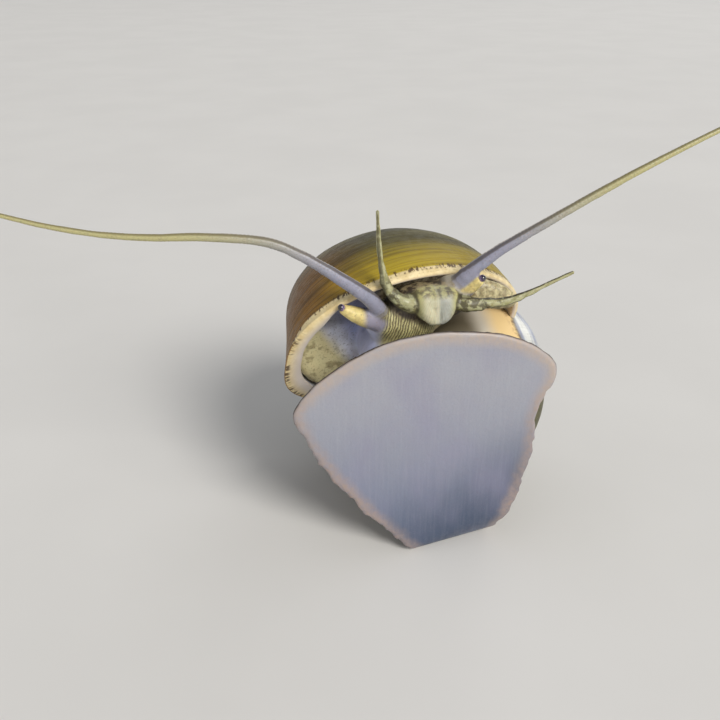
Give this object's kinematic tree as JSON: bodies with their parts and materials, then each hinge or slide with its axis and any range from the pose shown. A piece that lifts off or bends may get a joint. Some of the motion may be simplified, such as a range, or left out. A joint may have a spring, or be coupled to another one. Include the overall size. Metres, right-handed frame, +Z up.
{
  "type": "apple snail",
  "caption": "Life-size still model of an apple snail: broad foot raised with its tail on the floor, coiled shell behind, long feelers spread.",
  "frame": {"origin": "centre of the flat underside of the foot's tail, on the floor", "axes": "+Z up, -Y the way the raised sole faces, +X the viewer's right as the sole is looked at"},
  "size_m": [0.1354, 0.051, 0.0814],
  "materials": {
    "shell_olive": "semi-gloss chalky shell with growth lines",
    "lid_brown": "dull horn",
    "sole_grey": "wet matte skin",
    "mantle_pale": "wet satin skin",
    "feeler_grey": "wet satin skin",
    "snout_pale": "wet satin skin",
    "neck_yellow": "wet matte skin with fine dark lines",
    "head_brown": "wet matte mottled skin",
    "eye_dark": "glossy"
  },
  "bodies": {
    "root": {"shell": "shell_olive", "operculum": "lid_brown", "foot_front": "sole_grey", "foot_middle": "sole_grey", "foot_tail": "sole_grey", "mantle": "mantle_pale", "neck": "neck_yellow", "head": "head_brown", "snout": "snout_pale", "palp_left": "neck_yellow", "palp_right": "neck_yellow", "tentacle_left_base": "feeler_grey", "tentacle_left_middle": "feeler_grey", "tentacle_left_tip": "feeler_grey", "tentacle_right_base": "feeler_grey", "tentacle_right_middle": "feeler_grey", "tentacle_right_tip": "feeler_grey", "eye_stalk_left": "feeler_grey", "eye_stalk_right": "feeler_grey", "siphon_lobe": "head_brown", "eye_left": "eye_dark", "eye_right": "eye_dark"}
  },
  "joints": []
}
